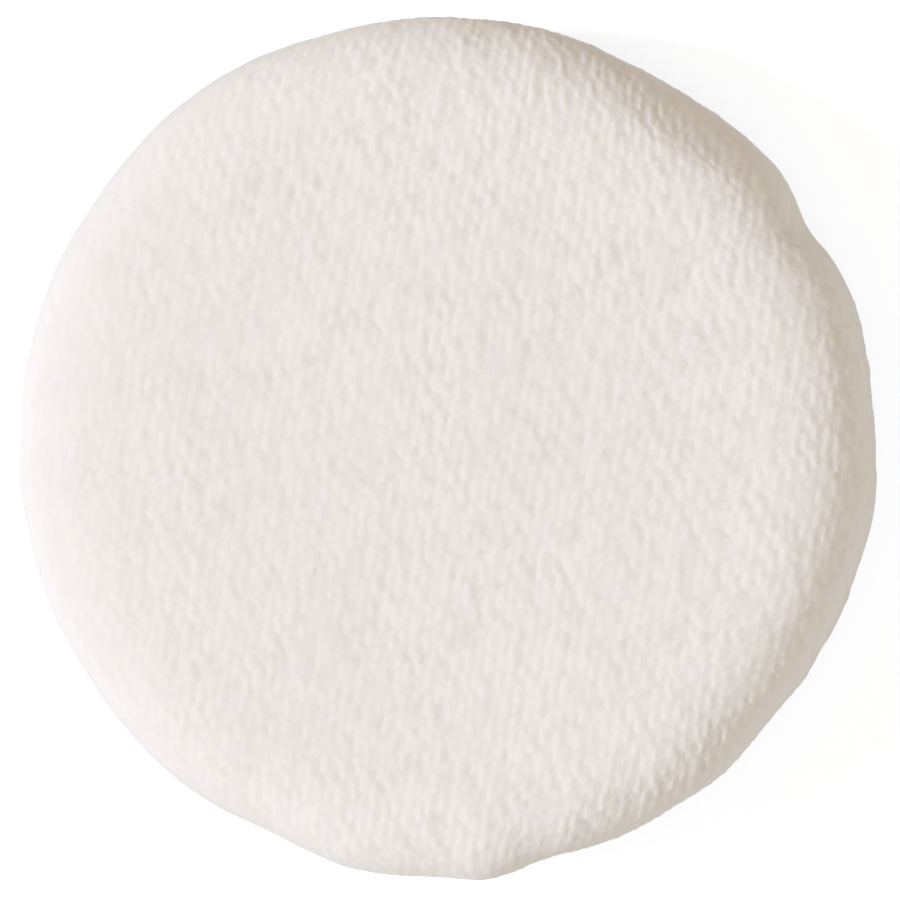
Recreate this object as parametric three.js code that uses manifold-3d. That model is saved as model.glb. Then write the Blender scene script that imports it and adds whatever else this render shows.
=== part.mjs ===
// A round velour powder puff, lying on its back with its powder face up.
// Two knitted velour covers, sewn face to face and turned right side out, hold a soft foam pad.
// Their cut edges lie inside as two flat seam allowances, joined by a lockstitch of two threads.
// The last stretch of the seam, through which the pad went in, is closed by hand with a ladder stitch.
// Millimetres, +Z up. The origin is the middle of the flat underside that the puff rests on.
import * as THREE from "three";
import { mergeVertices } from "three/addons/utils/BufferGeometryUtils.js";
import Module from "manifold-3d";

const wasm = await Module();
wasm.setup();

// Sizes of the whole puff.
const puffDiameter = 60; // across the bulge of the edge
const halfThickness = 6.8; // from the seam's plane to the edge of each face
const faceCrown = 0.3; // how far the middle of the powder face stands above its edge
const edgeRoundWidth = 8.6; // the rounded edge, seen from above
const edgeFullness = 2.8; // the edge's exponent: 2 is a plain ellipse, and more is fuller

// Sizes of the velour.
const velourThickness = 1.3; // knitted ground and pile together
const foldRadius = 0.9; // where each cover turns in at the seam
const allowanceThickness = 0.8; // the seam allowance, with its pile pressed flat
const pileGap = 0.3; // between the two allowances, pile to pile
const stitchInset = 2.4; // from the edge's bulge in to the stitch line
const allowancePastStitches = 2.4; // from the stitch line in to the cut edge

// Sizes of the foam pad.
const padClearance = 0.3; // between the pad and the velour round it

// Sizes of the machine seam.
const threadDiameter = 0.22;
const threadClearance = 0.06;
const stitchLength = 4.2;
const stitchCornerRadius = 0.12; // where the thread turns down into the cloth
const cutOverrun = 0.2; // how far every cut runs past the cloth that it goes through

// Sizes of the hand-sewn closing.
const closingLength = 18; // along the edge
const ladderPitch = 2.6; // from one rung to the next
const rungInset = 0.32; // from the edge's bulge in to the rungs
const rungReach = 0.42; // half of a rung's free length, across the groove

// Where the seam draws the edge in (minus) or lets it bulge (plus), as shares of the radius.
// Each gather has its bearing and its spread in degrees, counted from +X towards +Y.
const gatherShares = [
  { bearing: 17, spread: 7, share: 0.006 },
  { bearing: 31, spread: 4.4, share: -0.0155 },
  { bearing: 42, spread: 6, share: 0.008 },
  { bearing: 61, spread: 11, share: -0.010 },
  { bearing: 124, spread: 19, share: 0.0085 },
  { bearing: 154, spread: 6, share: 0.003 },
  { bearing: 178.5, spread: 4, share: -0.008 },
  { bearing: 212, spread: 12, share: -0.004 },
  { bearing: 245, spread: 6.5, share: -0.012 },
  { bearing: 260, spread: 7.5, share: 0.0125 },
  { bearing: 275.5, spread: 4.5, share: 0.0135 },
  { bearing: 285, spread: 4.5, share: -0.008 },
  { bearing: 298, spread: 6, share: 0.004 },
  { bearing: 319, spread: 7, share: -0.0085 },
  { bearing: 331, spread: 3.5, share: -0.006 },
  { bearing: 352, spread: 7, share: 0.010 },
];
const closingBearing = 31; // the closing lies at the deepest gather
const gatherStartShare = 0.5; // of the radius: inside this the gathers have died away

// How finely the forms are drawn.
const turnSegments = 72;
const outerEdgeSteps = 6;
const innerEdgeSteps = 4;
const foldSteps = 2;
const threadSides = 4;
const closingSides = 6;
const crownStartShare = 0.55; // of the face's radius: a ring that shapes the crown

// Places that follow from the sizes.
const edgeRadius = puffDiameter / 2;
const faceRadius = edgeRadius - edgeRoundWidth;
const pileFace = pileGap / 2; // height of each allowance's pile side above the seam's plane
const foldHeight = pileFace + foldRadius; // height of the fold's centre, and of the widest part
const allowanceTop = pileFace + allowanceThickness;
const stitchRadius = edgeRadius - stitchInset;
const allowanceInnerRadius = stitchRadius - allowancePastStitches;
const innerEdgeRadius = edgeRadius - velourThickness;

const velourCream = { color: 0xe8e2dc, roughness: 0.95, metalness: 0 };
const velourBack = { color: 0xe6dfd8, roughness: 0.95, metalness: 0 };
const foamWhite = { color: 0xf3eee2, roughness: 0.9, metalness: 0 };
const threadCream = { color: 0xece4d6, roughness: 0.6, metalness: 0 };

// Moves every vertex in or out with the gathers. All the pieces go through this, so they keep their fit.
function gathered(geometry) {
  const place = geometry.getAttribute("position");
  for (let i = 0; i < place.count; i++) {
    const x = place.getX(i);
    const y = place.getY(i);
    const bearing = THREE.MathUtils.radToDeg(Math.atan2(y, x));
    let share = 0;
    for (const gather of gatherShares) {
      const away = THREE.MathUtils.euclideanModulo(bearing - gather.bearing + 180, 360) - 180;
      share += gather.share * Math.exp(-((away / gather.spread) ** 2));
    }
    const pull = THREE.MathUtils.smoothstep(Math.hypot(x, y) / edgeRadius, gatherStartShare, 1);
    const scale = 1 + share * pull;
    place.setXY(i, x * scale, y * scale);
  }
  return geometry;
}

// A profile of (radius, height) points, turned about Z.
function turned(profile) {
  return new THREE.LatheGeometry(profile, turnSegments).rotateX(Math.PI / 2);
}

// Points round the edge in a profile, from its widest place up to the face: a quarter of a
// superellipse, which is an ellipse with fuller shoulders.
function edgeArc(widestHeight, width, height, steps) {
  const points = [];
  for (let i = 0; i <= steps; i++) {
    const angle = ((Math.PI / 2) * i) / steps;
    const out = Math.max(Math.cos(angle), 0) ** (2 / edgeFullness);
    const up = Math.sin(angle) ** (2 / edgeFullness);
    points.push(new THREE.Vector2(faceRadius + width * out, widestHeight + height * up));
  }
  return points;
}

// Points round the fold in a profile, from the edge's widest place in to the seam allowance.
function foldArc() {
  const points = [];
  for (let i = 1; i <= foldSteps; i++) {
    const angle = ((Math.PI / 2) * i) / foldSteps;
    points.push(
      new THREE.Vector2(
        edgeRadius - foldRadius + foldRadius * Math.cos(angle),
        foldHeight - foldRadius * Math.sin(angle),
      ),
    );
  }
  return points;
}

// A cover's section above the seam's plane: over the face, round the edge, in at the fold,
// along the seam allowance to its cut edge, and back inside the puff to the axis. It is handed
// on in the other order, which turns its faces out.
function coverProfile(crown) {
  const outerHeight = halfThickness - foldHeight;
  const innerWidth = edgeRoundWidth - velourThickness;
  const crownRing = faceRadius * crownStartShare;
  return [
    new THREE.Vector2(0, halfThickness + crown),
    new THREE.Vector2(crownRing, halfThickness + crown * (1 - crownStartShare ** 2)),
    ...edgeArc(foldHeight, edgeRoundWidth, outerHeight, outerEdgeSteps).reverse(),
    ...foldArc(),
    new THREE.Vector2(allowanceInnerRadius, pileFace),
    new THREE.Vector2(allowanceInnerRadius, allowanceTop),
    new THREE.Vector2(innerEdgeRadius, allowanceTop),
    ...edgeArc(foldHeight, innerWidth, outerHeight - velourThickness, innerEdgeSteps),
    new THREE.Vector2(0, halfThickness + crown - velourThickness),
  ].reverse();
}

// The same section on the other side of the seam's plane, with its points in the order that
// keeps the faces pointing out.
function mirrored(profile) {
  return profile.map((point) => new THREE.Vector2(point.x, -point.y)).reverse();
}

// The foam pad's section: a slim disc that fills both covers, squeezed in round its edge
// by the seam allowances and the runs of thread on them.
function padProfile() {
  const padEdgeWidth = edgeRoundWidth - velourThickness - 2 * padClearance;
  const padFace = halfThickness - velourThickness - padClearance;
  const channelRadius = allowanceInnerRadius - padClearance;
  const channelHeight = allowanceTop + threadClearance + threadDiameter + padClearance;
  const half = [
    new THREE.Vector2(channelRadius, channelHeight),
    ...edgeArc(channelHeight, padEdgeWidth, padFace - channelHeight, innerEdgeSteps),
  ];
  return [
    new THREE.Vector2(0, -padFace),
    ...mirrored(half),
    ...half,
    new THREE.Vector2(0, padFace + faceCrown),
  ];
}

// A thread's line: it passes through exactly the points that it is given, one section at each.
class ThreadLine extends THREE.Curve {
  constructor(points) {
    super();
    this.points = points;
  }
  getPoint(share) {
    const place = share * (this.points.length - 1);
    const before = Math.min(Math.floor(place), this.points.length - 2);
    return this.points[before].clone().lerp(this.points[before + 1], place - before);
  }
  getPointAt(share) {
    return this.getPoint(share);
  }
  getTangentAt(share) {
    const at = Math.round(share * (this.points.length - 1));
    const here = this.points[at];
    const into = here.clone().sub(this.points[Math.max(at - 1, 0)]).normalize();
    const out = this.points[Math.min(at + 1, this.points.length - 1)].clone().sub(here).normalize();
    return into.add(out).normalize();
  }
}

// A thread of the given diameter along a list of points, or the tunnel that it needs.
function threadAlong(points, diameter, sides) {
  const section = [];
  for (let i = 0; i < sides; i++) {
    const angle = (2 * Math.PI * i) / sides;
    section.push(new THREE.Vector2(Math.cos(angle), Math.sin(angle)).multiplyScalar(diameter / 2));
  }
  return new THREE.ExtrudeGeometry(new THREE.Shape(section), {
    steps: points.length - 1,
    extrudePath: new ThreadLine(points),
    bevelEnabled: false,
  });
}

// A point by the seam: a bearing, a distance along the edge from it, a radius and a height.
function bySeam(bearing, along, radius, height) {
  const angle = bearing + along / radius;
  return new THREE.Vector3(radius * Math.cos(angle), radius * Math.sin(angle), height);
}

// Bearings of the machine's stitches, from one end of the hand-sewn closing round to the other.
const closingMiddle = THREE.MathUtils.degToRad(closingBearing);
const closingHalfTurn = closingLength / 2 / stitchRadius;
const machineTurn = 2 * (Math.PI - closingHalfTurn);
const stitchCount = Math.round((machineTurn * stitchRadius) / stitchLength);
const stitchBearings = [];
for (let i = 0; i <= stitchCount; i++) {
  stitchBearings.push(closingMiddle + closingHalfTurn + (machineTurn * i) / stitchCount);
}

// Heights and offsets at which the two threads of a lockstitch pass each other.
const threadSpacing = threadDiameter + threadClearance;
const runHeight = allowanceTop + threadClearance + threadDiameter / 2;
const hookHeight = threadSpacing / 2;

// The needle's thread: it runs on the front allowance, and at each stitch goes down through it
// in a loop that hangs just past the middle.
function needleThreadPoints() {
  const points = [];
  for (const bearing of stitchBearings) {
    for (const side of [-1, 1]) {
      const turn = [
        bySeam(bearing, side * (threadSpacing + stitchCornerRadius), stitchRadius, runHeight),
        bySeam(bearing, side * threadSpacing, stitchRadius, runHeight - stitchCornerRadius),
        bySeam(bearing, side * threadSpacing, stitchRadius, -hookHeight),
      ];
      points.push(...(side < 0 ? turn : turn.reverse()));
    }
  }
  return points;
}

// The bobbin's thread: it runs under the back allowance, and at each stitch comes up and
// crosses through the needle thread's loop, from one side of the stitch line to the other.
function bobbinThreadPoints() {
  const points = [];
  stitchBearings.forEach((bearing, i) => {
    const from = i % 2 ? threadSpacing : -threadSpacing;
    for (const side of [-1, 1]) {
      const radius = stitchRadius - side * from;
      const turn = [
        bySeam(bearing, side * stitchCornerRadius, radius, -runHeight),
        bySeam(bearing, 0, radius, stitchCornerRadius - runHeight),
        bySeam(bearing, 0, radius, hookHeight),
      ];
      points.push(...(side < 0 ? turn : turn.reverse()));
    }
  });
  return points;
}

// The ladder stitch: rungs cross the groove between the two folds, and the rails between them
// run hidden along the middle of the front fold and the back fold in turn.
function ladderPoints() {
  const railRadius = edgeRadius - foldRadius;
  const rungs = Math.round(closingLength / ladderPitch);
  const points = [];
  for (let i = 0; i < rungs; i++) {
    const bearing = closingMiddle + ((i - (rungs - 1) / 2) * ladderPitch) / railRadius;
    const down = i % 2 ? -1 : 1;
    points.push(
      bySeam(bearing, 0, railRadius, down * foldHeight),
      bySeam(bearing, 0, edgeRadius - rungInset, down * rungReach),
      bySeam(bearing, 0, edgeRadius - rungInset, -down * rungReach),
      bySeam(bearing, 0, railRadius, -down * foldHeight),
    );
  }
  const firstBearing = closingMiddle - ((rungs + 1) / 2) * (ladderPitch / railRadius);
  const last = points.at(-1);
  const lastBearing = closingMiddle + ((rungs + 1) / 2) * (ladderPitch / railRadius);
  return [
    bySeam(firstBearing, 0, railRadius, foldHeight),
    ...points,
    bySeam(lastBearing, 0, railRadius, last.z),
  ];
}

// A closed mesh as a solid that can be cut, and back.
function asSolid(geometry) {
  const bare = new THREE.BufferGeometry();
  bare.setAttribute("position", geometry.getAttribute("position"));
  bare.setIndex(geometry.getIndex());
  const merged = mergeVertices(bare);
  return new wasm.Manifold(
    new wasm.Mesh({
      numProp: 3,
      vertProperties: merged.getAttribute("position").array,
      triVerts: Uint32Array.from(merged.getIndex().array),
    }),
  );
}

function asGeometry(solid) {
  const mesh = solid.getMesh();
  const geometry = new THREE.BufferGeometry();
  geometry.setAttribute("position", new THREE.BufferAttribute(mesh.vertProperties, mesh.numProp));
  geometry.setIndex(new THREE.BufferAttribute(mesh.triVerts, 1));
  geometry.computeVertexNormals();
  return geometry;
}

// One hole through an allowance, for both threads of a stitch. Its corners lie along the seam
// and across it, where the threads' legs pass.
function stitchHole(bearing) {
  const holeReach = threadSpacing + Math.SQRT2 * (threadDiameter / 2 + threadClearance);
  const depth = allowanceTop + cutOverrun;
  const hole = new THREE.CylinderGeometry(holeReach, holeReach, 2 * depth, 4);
  const middle = bySeam(bearing, 0, stitchRadius, 0);
  return hole.rotateX(Math.PI / 2).rotateZ(bearing).translate(middle.x, middle.y, middle.z);
}

const ladderLine = ladderPoints();

// A cover, with the stitch holes in its allowance and the ladder stitch's tunnels in its fold.
function coverSolid(profile) {
  let solid = asSolid(gathered(turned(profile)));
  for (const bearing of stitchBearings) {
    solid = solid.subtract(asSolid(gathered(stitchHole(bearing))));
  }
  const tunnelDiameter = threadDiameter + 2 * threadClearance;
  const tunnel = gathered(threadAlong(ladderLine, tunnelDiameter, closingSides));
  return asGeometry(solid.subtract(asSolid(tunnel)));
}

function piece(name, geometry, look) {
  const mesh = new THREE.Mesh(geometry, new THREE.MeshStandardMaterial(look));
  mesh.name = name;
  mesh.position.z = halfThickness;
  return mesh;
}

const puff = new THREE.Group();
puff.add(
  piece("front_cover", coverSolid(coverProfile(faceCrown)), velourCream),
  piece("back_cover", coverSolid(mirrored(coverProfile(0))), velourBack),
  piece("foam_pad", gathered(turned(padProfile())), foamWhite),
  piece(
    "needle_thread",
    gathered(threadAlong(needleThreadPoints(), threadDiameter, threadSides)),
    threadCream,
  ),
  piece(
    "bobbin_thread",
    gathered(threadAlong(bobbinThreadPoints(), threadDiameter, threadSides)),
    threadCream,
  ),
  piece("closing_thread", gathered(threadAlong(ladderLine, threadDiameter, closingSides)), threadCream),
);

export default puff;
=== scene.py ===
"""A round cream velour powder puff, lying on its back with its powder face up.

Two knitted velour covers hold a foam pad. The covers' pile is a field of small tufts on the
knit's own slanting lattice, and the seam draws the edge in with uneven gathers. Inside, the two
seam allowances are joined by a lockstitch of twisted thread, and a ladder stitch shuts the gap
that the pad went in through.

Everything is in metres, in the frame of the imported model. Heights called above the seam are
measured from the plane where the two covers meet.
"""

import math

import bpy
import numpy as np
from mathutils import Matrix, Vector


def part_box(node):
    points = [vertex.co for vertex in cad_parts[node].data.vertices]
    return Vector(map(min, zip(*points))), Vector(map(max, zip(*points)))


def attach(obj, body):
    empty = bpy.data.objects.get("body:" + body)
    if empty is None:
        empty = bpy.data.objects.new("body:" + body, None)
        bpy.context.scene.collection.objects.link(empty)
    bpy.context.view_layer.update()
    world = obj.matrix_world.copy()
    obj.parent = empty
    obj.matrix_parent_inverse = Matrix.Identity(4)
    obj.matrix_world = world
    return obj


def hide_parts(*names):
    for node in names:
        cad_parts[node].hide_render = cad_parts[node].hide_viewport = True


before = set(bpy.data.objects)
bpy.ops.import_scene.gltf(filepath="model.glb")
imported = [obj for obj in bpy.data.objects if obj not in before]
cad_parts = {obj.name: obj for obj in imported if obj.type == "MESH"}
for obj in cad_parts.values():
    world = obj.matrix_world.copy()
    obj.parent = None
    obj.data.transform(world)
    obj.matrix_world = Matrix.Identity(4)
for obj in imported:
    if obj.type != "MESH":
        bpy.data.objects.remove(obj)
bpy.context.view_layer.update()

MILLIMETRE = 0.001
CENTIMETRES_IN_A_METRE = 100
QUARTER_TURN = math.pi / 2
FULL_TURN = 2 * math.pi

# Sizes of the covers, as they are cut and sewn.
EDGE_RADIUS = 30 * MILLIMETRE
EDGE_ROUND_WIDTH = 8.6 * MILLIMETRE
EDGE_FULLNESS = 2.8
VELOUR_THICKNESS = 1.3 * MILLIMETRE
FOLD_RADIUS = 0.9 * MILLIMETRE
ALLOWANCE_THICKNESS = 0.8 * MILLIMETRE
PILE_GAP = 0.1 * MILLIMETRE
STITCH_INSET = 2.4 * MILLIMETRE
ALLOWANCE_PAST_STITCHES = 2.4 * MILLIMETRE
PAD_CLEARANCE = 0.3 * MILLIMETRE

# Sizes of the threads and their stitches.
THREAD_DIAMETER = 0.22 * MILLIMETRE
THREAD_CLEARANCE = 0.06 * MILLIMETRE
STITCH_LENGTH = 4.2 * MILLIMETRE
STITCH_CORNER = 0.12 * MILLIMETRE
THREAD_BEND = 0.16 * MILLIMETRE
PLY_COUNT = 3
PLY_PITCH = 0.9 * MILLIMETRE
PLY_RELIEF_SHARE = 0.14
CLOSING_LENGTH = 18 * MILLIMETRE
LADDER_PITCH = 2.6 * MILLIMETRE
RUNG_INSET = 0.32 * MILLIMETRE
RUNG_REACH = 0.42 * MILLIMETRE
CLOSING_BEARING = math.radians(31)

# Heights that the frame gives.
front_low, front_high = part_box("front_cover")
back_low, back_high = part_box("back_cover")
SEAM_HEIGHT = (front_low[2] + back_high[2]) / 2
BACK_HALF_THICKNESS = SEAM_HEIGHT - back_low[2]
FACE_CROWN = (front_high[2] - SEAM_HEIGHT) - BACK_HALF_THICKNESS

# Places that follow from the sizes.
FACE_RADIUS = EDGE_RADIUS - EDGE_ROUND_WIDTH
PILE_FACE = PILE_GAP / 2
FOLD_HEIGHT = PILE_FACE + FOLD_RADIUS
ALLOWANCE_TOP = PILE_FACE + ALLOWANCE_THICKNESS
STITCH_RADIUS = EDGE_RADIUS - STITCH_INSET
ALLOWANCE_INNER_RADIUS = STITCH_RADIUS - ALLOWANCE_PAST_STITCHES
ALLOWANCE_WIDTH = EDGE_RADIUS - FOLD_RADIUS - ALLOWANCE_INNER_RADIUS

# The machine's stitches run from one end of the hand-sewn closing round to the other.
THREAD_SPACING = THREAD_DIAMETER + THREAD_CLEARANCE
RUN_HEIGHT = ALLOWANCE_TOP + THREAD_CLEARANCE + THREAD_DIAMETER / 2
HOOK_HEIGHT = THREAD_SPACING / 2
CLOSING_HALF_TURN = CLOSING_LENGTH / 2 / STITCH_RADIUS
MACHINE_TURN = FULL_TURN - 2 * CLOSING_HALF_TURN
STITCH_COUNT = round(MACHINE_TURN * STITCH_RADIUS / STITCH_LENGTH)
STITCH_BEARINGS = (
    CLOSING_BEARING + CLOSING_HALF_TURN + np.linspace(0, MACHINE_TURN, STITCH_COUNT + 1)
)

# The knit: one tuft at each point of a slanting lattice, with these two steps between tufts. A
# tuft has a full end and a lower tail, a little way apart along its own bearing. Chance nudges
# it off its place, turns it, and adds to its least length and to its least height.
TUFT_STEPS = np.array([(0.889, 0.520), (0.603, -1.102)]) * MILLIMETRE
TUFT_NUDGE_SHARE = 0.3
TUFT_WIDTH = 0.225 * MILLIMETRE
TUFT_LENGTH = 0.365 * MILLIMETRE
TUFT_LEAST_LENGTH_SHARE = 0.8
TUFT_LENGTH_CHANCE_SHARE = 0.4
TUFT_LEAST_HEIGHT = 0.3
TUFT_BEARING = math.radians(86)
TUFT_TURN_CHANCE = math.radians(16)
TAIL_DISTANCE = 0.67 * MILLIMETRE
TAIL_SHARE = 0.6
KNIT_LOOSENESS = 0.1 * MILLIMETRE
KNIT_LOOSE_SPAN = 5 * MILLIMETRE

# What lies over the lattice: width, length and bearing of the pile's strokes, and their weight.
NAP_STROKES = [
    (0.27 * MILLIMETRE, 0.3 * MILLIMETRE, 0, 0.3),
    (0.42 * MILLIMETRE, 0.9 * MILLIMETRE, math.radians(112), 0.3),
    (0.62 * MILLIMETRE, 1.8 * MILLIMETRE, math.radians(114), 0.6),
    (0.56 * MILLIMETRE, 0.68 * MILLIMETRE, math.radians(80), 0.42),
    (1.1 * MILLIMETRE, 3.2 * MILLIMETRE, math.radians(110), 0.2),
]
SWIRL = 0.45 * MILLIMETRE
SWIRL_SPAN = 1.9 * MILLIMETRE
PATCHINESS = 0.12
SMALL_PATCH = 1.9 * MILLIMETRE
LARGE_PATCH = 4.3 * MILLIMETRE
SMALL_PATCH_SHARE = 0.6
PILE_MEAN = 0.58
PILE_SPREAD = 0.21
PILE_RELIEF = 0.042 * MILLIMETRE
LINING_PILE = 0.5

# The back cover is cut from another place of the cloth, and the pad's back half from another
# place of the foam.
BACK_CLOTH_SHIFT = 83 * MILLIMETRE
BACK_FOAM_SHIFT = 40 * MILLIMETRE

# The finishes' own patterns: velour fibres and mottles, pores and patches of age in the foam,
# and the thread's fibres. The velour's are counted along the cloth map.
FIBRES_IN_A_CENTIMETRE = 55
FIBRE_SHARE = 0.22
MOTTLES_IN_A_CENTIMETRE = 6
TINT_SHARE = 0.8
PORE_SIZE = 0.45 * MILLIMETRE
AGE_PATCH = 9 * MILLIMETRE
FOAM_YELLOW = (1, 0.95, 0.8, 1)
THREAD_FIBRE = 0.05 * MILLIMETRE
THREAD_FIBRE_SHARE = 0.3

# The floor, a hair below the back cover so that the two never share a plane, and the room.
FLOOR_SIZE = 3.0
FLOOR_DROP = 0.02 * MILLIMETRE
FLOOR_COLOUR = (0.7, 0.7, 0.7, 1)
GLOW_COLOUR = (0.85, 0.9, 0.99, 1)
GLOW_STRENGTH = 0.67
ROOM_COLOUR = (1.0, 0.843, 0.567, 1)
ROOM_STRENGTH = 0.497

# How finely the pieces are drawn.
FRONT_RINGS = 290
BACK_RINGS = 200
PAD_RINGS = 98
CLOTH_RINGS = 40
THREAD_SIDES = 12
THREAD_STEP = 0.14 * MILLIMETRE
FACE_LINE_POINTS = 200
EDGE_LINE_POINTS = 600
PAD_LINE_POINTS = 60
LINING_LINE_POINTS = 8
BEND_POINTS = 7
SLOPE_STEP = 0.05 * MILLIMETRE

# How the covers settle as cloth, in a trial ten times as large.
TRIAL_SCALE = 10
TRIAL_FRAMES = 20
TRIAL_PRESSURE = 4
EASE_SHARE = 0.012
MOST_SWAY = 0.4 * MILLIMETRE
FACE_SWAY_SHARE = 0.1
SEAM_REACH = 5.3 * MILLIMETRE
SEAM_FULL_SWAY = 0.7 * SEAM_REACH

# Puckers in the cloth along the seam: how many to a stitch, their weight, and their shift in the
# noise that they are read from.
PUCKERS = [(2.4, 1, 19), (5, 0.5, 53)]
PUCKER_DEPTH = 0.4 * MILLIMETRE
PUCKER_REACH = 1.0 * MILLIMETRE

# Soft swells of the filling under the cloth: height, size, and their shift in the noise.
SWELLS = [(0.1 * MILLIMETRE, 4.1 * MILLIMETRE, 71), (0.22 * MILLIMETRE, 11 * MILLIMETRE, 5)]

# Soft cells that dent the foam pad: size, and their shift in the noise.
PAD_DENT = 0.1 * MILLIMETRE
FINE_CELLS = (0.9 * MILLIMETRE, 7)
BROAD_CELLS = (2.1 * MILLIMETRE, 3)
PAD_WAIST_SHARE = 0.9

# Where the seam draws the edge in (minus) or lets it bulge (plus): bearing and spread in
# degrees, and how far as a share of the radius.
GATHER_SHARES = [
    (17, 7, 0.006),
    (31, 4.4, -0.0155),
    (42, 6, 0.008),
    (60, 12, -0.011),
    (89, 15, -0.007),
    (106, 6, -0.007),
    (124, 19, 0.0085),
    (154, 6, 0.003),
    (178.5, 4, -0.008),
    (212, 12, -0.004),
    (245, 6.5, -0.012),
    (260, 7.5, 0.0085),
    (275.5, 4.5, 0.0135),
    (285, 4.5, -0.008),
    (291.5, 3.5, -0.005),
    (310, 6, 0.006),
    (321, 6, -0.0085),
    (331, 3.5, -0.006),
    (352, 7, 0.010),
]
GATHER_START_SHARE = 0.5

# Where the shoulder of the filled edge is pulled flatter: bearing and spread in degrees, and
# how far as a share of the radius. The pull is strongest at one place along the cover's path.
SHOULDER_SHARES = [(51, 13, 0.021), (352, 12, 0.006), (305, 13, 0.009)]
SHOULDER_PLACE = 28.7 * MILLIMETRE
SHOULDER_SPREAD = 2.2 * MILLIMETRE

# Where the filling gives way under the edge of the face, or holds it up (minus): bearing and
# spread in degrees, and how far the face sinks.
SLUMPS = [
    (140, 34, 0.6 * MILLIMETRE),
    (198, 28, 0.4 * MILLIMETRE),
    (330, 40, -0.2 * MILLIMETRE),
]
SLUMP_START = 18 * MILLIMETRE
SLUMP_END = 27 * MILLIMETRE

# Where the side drops away more steeply under the shoulder, or less (minus): bearing and spread
# in degrees, and how far. The drop dies away again before the fold at the seam.
SIDE_DROPS = [
    (52, 16, 0.37 * MILLIMETRE),
    (61, 7, -0.25 * MILLIMETRE),
    (196, 36, -0.55 * MILLIMETRE),
    (304, 15, 0.34 * MILLIMETRE),
    (339, 12, 0.22 * MILLIMETRE),
]
DROP_START = 26.8 * MILLIMETRE
DROP_END = 31 * MILLIMETRE
DROP_GONE = 34.2 * MILLIMETRE

# The next spans have a start and an end along a cover's path, which runs from the middle of the
# face to the cut edge, or along the flat cloth. Both are shares of the face's radius.

# How strongly the pile opens: in the middle of the face, and then over which spans that changes
# and by how much.
FACE_OPENING_SHARE = 1.06
OPENING_CHANGE_SHARES = [((0.5, 1.1), 0.13), ((1.3, 1.45), -0.6), ((1.46, 1.56), 0.4)]

# Where the pile lies calmer, and by how much: to the left and to the bottom of the flat cloth,
# and round the left edge, for every bearing that points at least so far to the left.
# The pile's height also sets the velour's painted shade between the tufts, so that painted shade is
# fainter there too, most of all round the left edge, which faces the window light.
LEFT_CALM_SHARE = 0.16
LEFT_CALM_SPAN_SHARES = (-0.2, 0.6)
BOTTOM_CALM_SHARE = 0.13
BOTTOM_CALM_SPAN_SHARES = (0.6, 1)
LEFT_EDGE_CALM_SHARE = 0.6
LEFT_EDGE_CALM_SPAN_SHARES = (0.95, 1.28)
LEFT_EDGE_LEAST_SHARE = 0.3

# How much deeper the pile opens where the cloth bends over the shoulder: bearing and spread in
# degrees, and the extra depth as a share.
BEND_OPENING_SHARES = [(62, 33, 1.0), (4, 26, 0.9), (308, 22, 0.95), (268, 18, 0.45)]
BEND_SPAN_SHARES = (1, 1.28)

# The same again for the outermost part of the shoulder.
RIM_OPENING_SHARES = [(80, 30, 0.5), (308, 22, 1.1)]
RIM_SPAN_SHARES = (1.25, 1.36)

# How far in from the cut edge the pile lies flat, and from how far in it stands in full.
FLAT_PILE_REACH = 3.0 * MILLIMETRE
FULL_PILE_REACH = 4.2 * MILLIMETRE

NOISE_SIZE = 256
NOISE_TABLE = np.random.default_rng(31).random((NOISE_SIZE, NOISE_SIZE))


def smoothstep(value, low, high):
    """0 below low, 1 above high, and a smooth cubic rise between them."""
    share = np.clip((value - low) / (high - low), 0, 1)
    return share * share * (3 - 2 * share)


def over_span(place, span):
    """A smooth rise from 0 to 1 over a span, given as shares of the face's radius."""
    start, end = span
    return smoothstep(place, start * FACE_RADIUS, end * FACE_RADIUS)


def soft_noise(x, y, cell, shift):
    """Value noise from 0 to 1: random values on a square lattice, blended smoothly between."""
    u = x / cell + shift
    v = y / cell - shift
    column = np.floor(u).astype(int)
    row = np.floor(v).astype(int)
    blend_u = smoothstep(u - column, 0, 1)
    blend_v = smoothstep(v - row, 0, 1)

    def value(step_u, step_v):
        return NOISE_TABLE[(column + step_u) % NOISE_SIZE, (row + step_v) % NOISE_SIZE]

    near = value(0, 0) * (1 - blend_u) + value(1, 0) * blend_u
    far = value(0, 1) * (1 - blend_u) + value(1, 1) * blend_u
    return near * (1 - blend_v) + far * blend_v


def bells(table, bearing):
    """The sum of a table's bell curves at a bearing. A row holds a curve's centre and spread in
    degrees, and its height."""
    degrees = np.degrees(bearing)
    total = np.zeros_like(degrees)
    for centre, spread, height in table:
        away = (degrees - centre + 180) % 360 - 180
        total += height * np.exp(-((away / spread) ** 2))
    return total


def gathered(radius, bearing):
    """A radius after the seam's gathers, which die away towards the middle of the face."""
    reach = smoothstep(radius / EDGE_RADIUS, GATHER_START_SHARE, 1)
    return radius * (1 + bells(GATHER_SHARES, bearing) * reach)


def round_points(radius, bearing, height):
    """Points given by their distance from the axis, their bearing and their height."""
    places = np.broadcast_arrays(radius * np.cos(bearing), radius * np.sin(bearing), height)
    return np.stack(places, axis=-1)


def disc_grid(rings):
    """A square grid bent into a disc, as two arrays: how far out each point is, and its bearing.

    How far out is the larger of the point's two distances from the middle, so each square ring
    becomes a circle. The bearing runs evenly along each side of the square.
    """
    steps = np.linspace(-1, 1, 2 * rings + 1)
    across, up = np.meshgrid(steps, steps, indexing="ij")
    out = np.maximum(abs(across), abs(up))
    sideways = abs(across) >= abs(up)
    leading = np.where(sideways, across, up)
    leading = np.where(leading == 0, 1, leading)
    lean = math.pi / 4 * np.where(sideways, up, across) / leading
    bearing = np.where(sideways, lean, QUARTER_TURN - lean)
    return out, bearing + np.where(leading < 0, math.pi, 0)


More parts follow.
